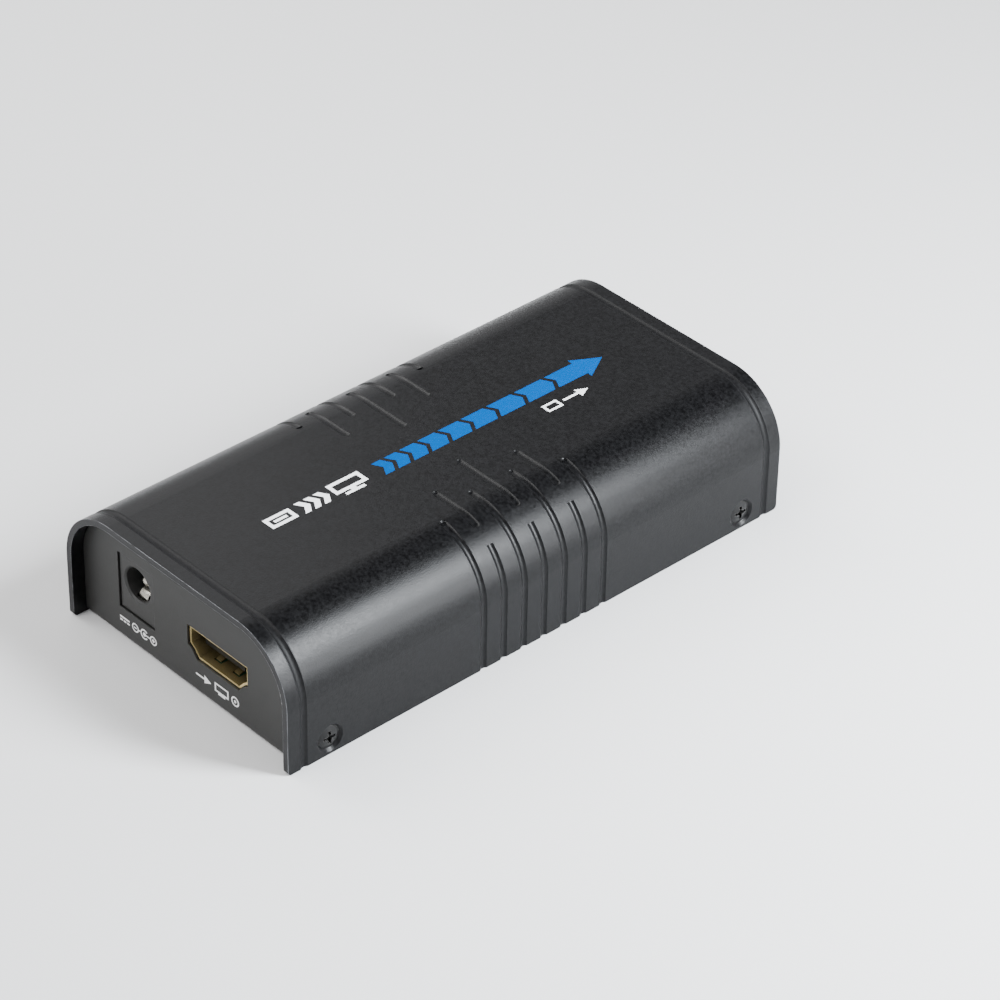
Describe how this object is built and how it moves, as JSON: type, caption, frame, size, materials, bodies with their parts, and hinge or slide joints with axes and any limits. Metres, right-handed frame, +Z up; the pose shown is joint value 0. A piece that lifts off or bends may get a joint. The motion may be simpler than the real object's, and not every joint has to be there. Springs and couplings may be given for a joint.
{
  "type": "video extender",
  "caption": "Low metal box with a grooved cover that sends video over a network cable: power jack and video socket in front, network jack and reset button at the back.",
  "frame": {"origin": "under the middle of the box, on the surface that it stands on", "axes": "+Y from the video end to the network end, +X to the right as seen from the video end, +Z up"},
  "size_m": [0.058, 0.113, 0.0248],
  "materials": {
    "anodised_black": "sandblasted black anodising",
    "tray_grey": "semi-matt dark grey",
    "screw_black": "blackened steel",
    "bright_steel": "nickel-plated steel",
    "board_green": "solder mask on glass fibre",
    "jack_black": "moulded, fine grain",
    "gold_plate": "gold plating",
    "tin_plate": "dull tin plating",
    "socket_insert": "moulded",
    "light_yellow": "translucent",
    "light_green": "translucent",
    "button_black": "moulded, half gloss",
    "chip_epoxy": "moulded epoxy",
    "thermal_rubber": "soft",
    "bare_aluminium": "extruded",
    "can_metal": "drawn",
    "ferrite_grey": "sintered",
    "ceramic_tan": "fired",
    "resistor_black": "fired"
  },
  "bodies": {
    "case": {"cover": "anodised_black", "tray": "tray_grey", "cover_screws": "screw_black", "board_standoffs": "bright_steel", "circuit_board": "board_green", "board_screws": "bright_steel", "power_jack_body": "jack_black", "power_jack_pin": "bright_steel", "power_jack_spring": "bright_steel", "video_socket_shell": "gold_plate", "video_socket_insert": "socket_insert", "video_socket_contacts": "gold_plate", "lan_jack_shield": "tin_plate", "lan_jack_housing": "socket_insert", "lan_jack_contacts": "gold_plate", "lan_light_yellow": "light_yellow", "lan_light_green": "light_green", "switch_body": "chip_epoxy", "switch_frame": "bright_steel", "switch_dome": "bright_steel", "main_processor": "chip_epoxy", "thermal_pad": "thermal_rubber", "heat_sink": "bare_aluminium", "video_receiver_chip": "chip_epoxy", "memory_chips": "chip_epoxy", "network_chip": "chip_epoxy", "network_transformer": "chip_epoxy", "flash_chip": "chip_epoxy", "quartz_crystals": "can_metal", "power_inductors": "ferrite_grey", "electrolytic_capacitors": "can_metal", "voltage_regulators": "chip_epoxy", "protection_arrays": "chip_epoxy", "line_filters": "ferrite_grey", "ceramic_capacitors": "ceramic_tan", "chip_resistors": "resistor_black"},
    "reset_button": {"reset_button": "button_black"}
  },
  "joints": [
    {"name": "reset_press", "type": "slide", "parent": "case", "child": "reset_button", "axis": [0, -1, 0], "range_m": [0, 0.00025], "stiffness_N_per_m": 4000}
  ]
}
